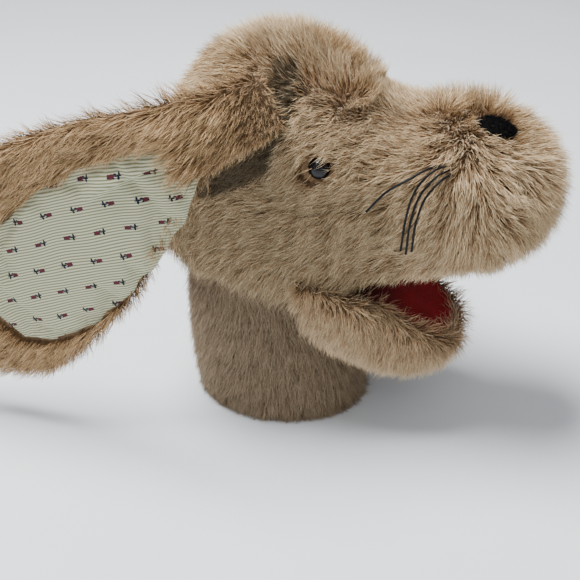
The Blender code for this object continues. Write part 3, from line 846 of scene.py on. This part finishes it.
def jaw_place(u, y, w):
    x = JAW_AXIS[0] + u * math.cos(JAW_DROP) + w * math.sin(JAW_DROP)
    return Vector((x, y, JAW_AXIS[2] - u * math.sin(JAW_DROP) + w * math.cos(JAW_DROP)))


def throat_cloth(rows=11, columns=41):
    """Plush from just outside the jaw's back edge to the cheeks, clear of the sleeve's front."""
    keys = [s[0] for s in JAW_SIZES]
    points = []
    for row in range(rows):
        t = row / (rows - 1)
        for column in range(columns):
            around = math.pi * column / (columns - 1)
            s, c = math.sin(around), math.cos(around)
            w = -30.0 * s
            for _ in range(6):
                u = 17.7 - 0.89 * w  # three millimetres in front of the jaw's back cut
                w = -(np.interp(u, keys, [k[1] for k in JAW_SIZES]) + 0.8) * s
            half = np.interp(u, keys, [k[2] for k in JAW_SIZES]) + 0.8
            front = jaw_place(u * MM, -half * c * MM, w * MM)
            back_y, back_z = -45.5 * c, 97.0 - 46.0 * s**0.8
            sleeve_x = -9.0 + 46.0 * math.sqrt(max(0.0, 1.0 - (back_y / 42.0) ** 2))
            back = Vector((max(20.0 + 12.0 * s, sleeve_x), back_y, back_z)) * MM
            bulge = Vector((0.3, -0.4 * c, -0.8 * s)) * 0.004 * math.sin(math.pi * t)
            points.append(front.lerp(back, t) + bulge)
    ob = new_piece("throat_cloth", mesh_from("throat_cloth", points, grid(rows, columns)))
    return thickened(ob, 0.0022)


def add_plush():
    backing = cloth_material("pile_backing", (0.11, 0.062, 0.030), (0.24, 0.150, 0.080), 700.0)
    panels = ("head_right_panel", "head_gusset", "head_left_panel")
    halves = ("sleeve_right_panel", "sleeve_left_panel")
    head = dressed(remeshed("head_cloth", panels, 0.0026), "head", backing, panels)
    jaw = dressed(remeshed("jaw_cloth", ("jaw_skin",), 0.0020), "jaw", backing, ("jaw_skin",))
    sleeve = dressed(remeshed("sleeve_cloth", halves, 0.0024), "sleeve", backing, halves)
    throat = throat_cloth()
    throat.data.materials.append(backing)
    throat_surface = Surface(throat, open_air=False)
    throat_surface.keep(throat_surface.outer((0.020, 0.0, 0.085)))
    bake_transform(throat)
    share = 1.0
    wide = 1.0
    surface = Surface(head)
    surface.keep(surface.centres[:, 2] > 0.080)
    clear = [(bead_centre(word + "_eye", side)[0], EYE_CLEAR) for word, side in SIDES]
    clear.append((middle_of("nose") + Vector((0.0, -0.002, 0.009)), NOSE_CLEAR))
    strands("head_pile", surface, int(150000 * share), groom_head, TAN, "head", 11,
            density=lambda p: 1.0 - 0.9 * crease(p), width=wide, clear=clear, shade=cheek_painted_shade)
    # Painted shade: short, dark pile in the crease in front of and under each ear's root, where the head's
    # pile is thinned
    strands("crease_shade_pile", surface, int(16000 * share), groom_crease, CREASE_SHADE_TAN, "head", 19,
            density=lambda p: crease(p) + 1e-9, width=wide)
    count = int(30000 * share)
    strands("jaw_pile", Surface(jaw), count, groom_jaw, JAW_TAN, "jaw", 12, width=wide)
    count = int(16000 * share)
    surface = throat_surface
    for piece in strands("throat_pile", surface, count, groom_jaw, JAW_TAN, None, 16, width=wide):
        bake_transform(piece)
    surface = Surface(sleeve)
    surface.keep(surface.centres[:, 2] < 0.098)
    count = int(64000 * share)
    strands("sleeve_pile", surface, count, groom_sleeve, SLEEVE_TAN, "sleeve", 13, width=wide)
    count = int(54000 * share)
    for (word, side), bends, spine, seed in zip(SIDES, (RIGHT_BENDS, LEFT_BENDS), EAR_COMBS, (14, 15)):
        ear = word + "_ear"
        back = remeshed(ear + "_cloth", (ear + "_back",), 0.0022, 6)
        fold_root(back, bends, side)
        dressed(back, ear, backing, (ear + "_back",))
        surface = Surface(back, open_air=False)
        surface.keep(clear_of(surface.centres, ear + "_lining"))
        strands(ear + "_pile", surface, count, groom_ear(spine, side), EAR_TAN, ear, seed, width=wide)


def fold_root(ob, bends, side):
    """Draws in the lower side of an ear's root and lifts it off the head, like the stitched fold it is."""
    marks, places, across, normals = (a[:111] for a in ear_frames(bends, side))
    along = np.cross(across, normals)
    points = np.array([tuple(v.co) for v in ob.data.vertices]) / MM
    reach = np.abs(np.einsum("vmk,mk->vm", points[:, None, :] - places[None], along))
    chosen = reach.argmin(axis=1)
    distance = marks[chosen]
    near = distance < marks[-1] - 1.0
    spine, over, out = places[chosen], across[chosen], normals[chosen]
    offset = np.sum((points - spine) * over, axis=1)
    height = np.sum((points - spine) * out, axis=1)
    slide = np.sum((points - spine) * np.cross(over, out), axis=1)
    drawn = 0.45 + 0.55 * ramp(distance, 40.0, 92.0)
    offset = np.where(offset < 0.0, offset * drawn, offset)
    lifted = ramp(distance, 0.0, 14.0) * (1 - ramp(distance, 40.0, 72.0)) * np.exp(-((offset / 18.0) ** 2))
    height = height + ROOT_LIFT * lifted
    moved = spine + over * offset[:, None] + out * height[:, None] + np.cross(over, out) * slide[:, None]
    points[near] = moved[near]
    ob.data.vertices.foreach_set("co", (points * MM).ravel())
    ob.data.update()


def middle_of(node):
    low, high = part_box(node)
    return (Vector(low) + Vector(high)) / 2


def clear_of(points, node, gap=0.0009):
    """Which points are further than gap from a CAD node."""
    mesh = NODES[node].data
    tree = BVHTree.FromPolygons([v.co for v in mesh.vertices], [tuple(p.vertices) for p in mesh.polygons])
    return np.array([tree.find_nearest(Vector(p))[3] > gap for p in points])


# Ear linings


def ear_frames(bends, side):
    """Spine points, across directions and outward normals of an ear, a millimetre apart."""
    keys = [b[0] for b in bends]
    marks = np.arange(EAR_LENGTH + 1.0)
    down = np.radians(np.interp(marks, keys, [b[1] for b in bends]))
    out = np.radians(np.interp(marks, keys, [b[2] for b in bends]))
    along = np.stack([-np.cos(down) * np.cos(out), side * np.sin(out), -np.sin(down) * np.cos(out)], axis=1)
    steps = np.cumsum((along[1:] + along[:-1]) / 2, axis=0)
    root = np.array([EAR_ROOT[0], side * EAR_ROOT[1], EAR_ROOT[2]])
    places = root + np.concatenate([np.zeros((1, 3)), steps])
    across = np.stack([-np.sin(down), np.zeros_like(down), np.cos(down)], axis=1)
    normals = np.cross(along, across)
    normals *= (side * np.sign(normals[:, 1]))[:, None]
    return marks, places, across, normals


def at_marks(marks, values, wanted):
    return np.stack([np.interp(wanted, marks, values[:, k]) for k in range(3)], axis=1)


def simulated(ob, pinned, slack, frames=24):
    """The sheet after slack cloth held at its edge has settled, and the mesh's points."""
    group = ob.vertex_groups.new(name="held")
    group.add([int(i) for i in pinned], 1.0, "REPLACE")
    cloth = ob.modifiers.new("Cloth", "CLOTH")
    settings = cloth.settings
    settings.quality = 6
    settings.mass = 0.02
    settings.vertex_group_mass = "held"
    settings.effector_weights.gravity = 0.0
    settings.shrink_min = -slack
    settings.tension_stiffness = 30
    settings.bending_stiffness = 0.4
    settings.tension_damping = 15
    cloth.collision_settings.use_collision = False
    cloth.point_cache.frame_start, cloth.point_cache.frame_end = 1, frames
    scene = bpy.context.scene
    for frame_number in range(1, frames + 1):
        scene.frame_set(frame_number)
    baked(ob)
    scene.frame_set(1)
    points = np.empty(len(ob.data.vertices) * 3)
    ob.data.vertices.foreach_get("co", points)
    return points.reshape(-1, 3)


def add_lining(word, bends, side, mat, rows=86, columns=54):
    keys = [s[0] for s in EAR_LINING]
    distance = np.linspace(keys[0], keys[-1], rows)
    half = np.interp(distance, keys, [s[1] for s in EAR_LINING])
    half = np.convolve(np.pad(half, 4, mode="edge"), np.ones(9) / 9, mode="valid")
    scalloped = 0.7 * np.sin(distance * 0.21) + 0.5 * np.sin(distance * 0.37 + 1.0)
    share = np.linspace(-1.0, 1.0, columns)
    drop = (LINING_DROP * np.clip((distance - 20.0) / 60.0, 0.0, 1.0))[:, None]
    offset = share[None, :] * (half + scalloped)[:, None] - drop
    marks, places, across, normals = ear_frames(bends, side)
    spine, over, out = (at_marks(marks, v, distance)[:, None, :] for v in (places, across, normals))
    low = EAR_THICK + 0.45
    flat = (spine + over * offset[:, :, None] + out * low) * MM
    mesh = mesh_from(word + "_ear_cotton", flat.reshape(-1, 3), grid(rows, columns))
    ob = new_piece(word + "_ear_cotton", mesh)
    start = flat + out * (swirl(flat.reshape(-1, 3), 0.030, 31).reshape(flat.shape)[:, :, :1] * 0.0008)
    mesh.vertices.foreach_set("co", start.ravel())
    index = np.arange(rows * columns).reshape(rows, columns)
    edge = np.unique(np.concatenate([index[0], index[-1], index[:, 0], index[:, -1]]))
    moved = simulated(ob, edge, LINING_SLACK).reshape(flat.shape) - flat
    rise = np.sum(moved * out, axis=2)
    from_ends = np.minimum(distance - keys[0], keys[-1] - distance)
    hold = ramp(1.0 - np.abs(share), 0.0, 0.12)[None, :] * ramp(from_ends, 0.0, 6.0)[:, None]
    rise = np.clip(np.abs(rise), 0.0, 0.0030) * hold
    line = (half * 0.50)[:, None] - drop
    above = offset - line
    pleat = np.where(above > 0, 1 - ramp(above, 0.0, 13.0), 1 - ramp(-above, 0.0, 1.6))
    pleat *= (1 - ramp(distance, 84.0, 112.0))[:, None]
    rise = rise + pleat * PLEAT_HEIGHT * MM * hold
    final = flat + out * rise[:, :, None]
    ob.data.vertices.foreach_set("co", final.ravel())
    layer = ob.data.uv_layers.new(name="print")
    along = np.broadcast_to(distance[:, None], offset.shape)
    spread = np.stack([along, offset], axis=2).reshape(-1, 2) * MM
    corners = np.empty(len(ob.data.loops), dtype=np.int32)
    ob.data.loops.foreach_get("vertex_index", corners)
    layer.data.foreach_set("uv", spread[corners].ravel())
    ob.data.update()
    thickened(ob, 0.0005, 1.0)
    dressed(ob, word + "_ear", mat, (word + "_ear_lining",))


# Mouth


def half_width(node, direction, distance):
    """Half of a CAD node's width where its outline crosses a distance along a direction."""
    mesh = NODES[node].data
    along = [v.co.dot(direction) - distance for v in mesh.vertices]
    widest = 0.0
    for edge in mesh.edges:
        a, b = edge.vertices
        if along[a] * along[b] <= 0 and along[a] != along[b]:
            share = along[a] / (along[a] - along[b])
            y = mesh.vertices[a].co.y * (1 - share) + mesh.vertices[b].co.y * share
            widest = max(widest, abs(y))
    return widest


def add_mouth_felt():
    """One piece of felt along the palate, round the fold and along the jaw."""
    forward = Vector((math.cos(PALATE_RISE), 0.0, math.sin(PALATE_RISE)))
    outward = Vector((math.cos(JAW_DROP), 0.0, -math.sin(JAW_DROP)))
    line, halves = [], []
    for node, direction, order in (("palate_felt", forward, -1), ("jaw_felt", outward, 1)):
        places = [v.co.dot(direction) for v in NODES[node].data.vertices]
        middle = JAW_AXIS.dot(direction)
        marks = np.linspace(max(min(places), middle + 0.003), max(places) - 0.0006, 30)[::order]
        for mark in marks:
            line.append(JAW_AXIS + direction * (mark - middle))
            halves.append(half_width(node, direction, min(mark, max(places) - 0.0006)))
    columns = 37
    points = []
    for i, (place, half) in enumerate(zip(line, halves)):
        step = line[min(i + 1, len(line) - 1)] - line[max(i - 1, 0)]
        inner = Vector((-step.z, 0.0, step.x)).normalized()
        for share in np.linspace(-1.0, 1.0, columns):
            dip = 0.00015 * math.sin(share * 9.0 + i * 0.35)
            points.append(place + Vector((0.0, share * half, 0.0)) + inner * (0.0001 + dip))
    ob = new_piece("mouth_felt", mesh_from("mouth_felt", points, grid(len(line), columns)))
    thickened(ob, FELT_THICK, 1.0)
    ob.data.materials.append(felt_material())
    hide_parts("palate_felt", "jaw_felt")
    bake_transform(ob)


# Eyes and nose


def bead_centre(node, side):
    """Centre of a bead eye's ball and the direction it looks in, from the CAD node's own long axis."""
    points = np.array([tuple(v.co) for v in NODES[node].data.vertices])
    middle = points.mean(axis=0)
    axis = np.linalg.svd(points - middle)[2][0]
    axis = axis * np.sign(axis[1] * side)
    reach = np.max((points - middle) @ axis)
    return Vector(middle + axis * (reach - 0.0055)), Vector(axis)


def add_eyes():
    mat = gloss_material()
    profile = [(0.0012, -0.0115), (0.0017, -0.0105), (0.0017, -0.0052), (0.0030, -0.0049)]
    profile += [(0.0057 * math.cos(t), 0.0056 * math.sin(t)) for t in np.radians(np.linspace(-56, 89, 22))]
    turns = 40
    for word, side in SIDES:
        centre, axis = bead_centre(word + "_eye", side)
        turn = Vector((0, 0, 1)).rotation_difference(axis).to_matrix()
        points = []
        for radius, height in profile:
            for k in range(turns):
                a = 2 * math.pi * k / turns
                points.append(centre + turn @ Vector((radius * math.cos(a), radius * math.sin(a), height)))
        last = (len(profile) - 1) * turns
        faces = [
            (r + k, r + (k + 1) % turns, r + turns + (k + 1) % turns, r + turns + k)
            for r in range(0, last, turns) for k in range(turns)
        ]
        faces += [tuple(range(turns))[::-1], tuple(range(last, last + turns))]
        ob = new_piece(word + "_eye_bead", mesh_from(word + "_eye_bead", points, faces))
        dressed(ob, "head", mat, (word + "_eye",))


def groom_flock(p, n):
    comb = swirl(p, 0.012, 17) + np.array([[0.1, 0.0, -0.1]])
    return comb, np.full(len(p), 0.0016), np.full(len(p), 0.35), np.full(len(p), 0.75)


def add_nose():
    ob = remeshed("nose_body", ("nose",), 0.0009, 4)
    mat = cloth_material("black_flock", (0.002, 0.002, 0.002), (0.007, 0.007, 0.008), 1500.0, 0.95, 0.0)
    dressed(ob, "head", mat, ("nose",))
    surface = Surface(ob, open_air=False)
    surface.keep(surface.centres[:, 2] > middle_of("nose").z - 0.002)
    count = 12000
    strands("nose_flocking", surface, count, groom_flock, FLOCK, "head", 18,
            gather=0.2, width=0.55)


# Stuffing, pockets, linings and boards


def add_insides():
    wadding = cloth_material("wadding_fibre", (0.55, 0.54, 0.50), (0.82, 0.81, 0.78), 420.0, 0.95, 0.3)
    for part, body, fill in (("crown", "head", 0.8), ("muzzle", "head", 0.8), ("chin", "jaw", 0.7)):
        node = part + "_stuffing"
        ob = refined(node + "_fibre", node, 0.0045, 0.00025, 22)
        dressed(ob, body, wadding, (node,))
    woven = woven_material("lining_weave", (0.30, 0.225, 0.150), (0.46, 0.365, 0.255))
    cloths = [("sleeve_lining", "sleeve")]
    cloths += [(f"finger_pocket_{layer}", "head") for layer in ("top", "edge", "bottom")]
    cloths += [("thumb_pocket", "jaw")]
    for node, body in cloths:
        ob = refined(node + "_cloth", node, 0.0050, 0.00022, 23)
        dressed(ob, body, woven, (node,))
    hem = refined("hem_band_cloth", "sleeve_hem_band", 0.0050, 0.00015, 24)
    band = cloth_material("hem_twill", (0.20, 0.140, 0.085), (0.34, 0.250, 0.165), 800.0)
    dressed(hem, "sleeve", band, ("sleeve_hem_band",))
    board = cloth_material("grey_board", (0.36, 0.33, 0.28), (0.50, 0.46, 0.40), 260.0, 0.9, 0.0)
    washer = washer_material()
    for node in NODES:
        mat = board if node.endswith("_board") else washer if node.endswith("_washer") else None
        if mat:
            NODES[node].material_slots[0].material = mat


add_camera()
add_whiskers()
add_studio()
cotton = cotton_material()
add_lining("right", RIGHT_BENDS, -1, cotton)
add_lining("left", LEFT_BENDS, 1, cotton)
add_mouth_felt()
add_insides()
add_eyes()
add_nose()
add_plush()
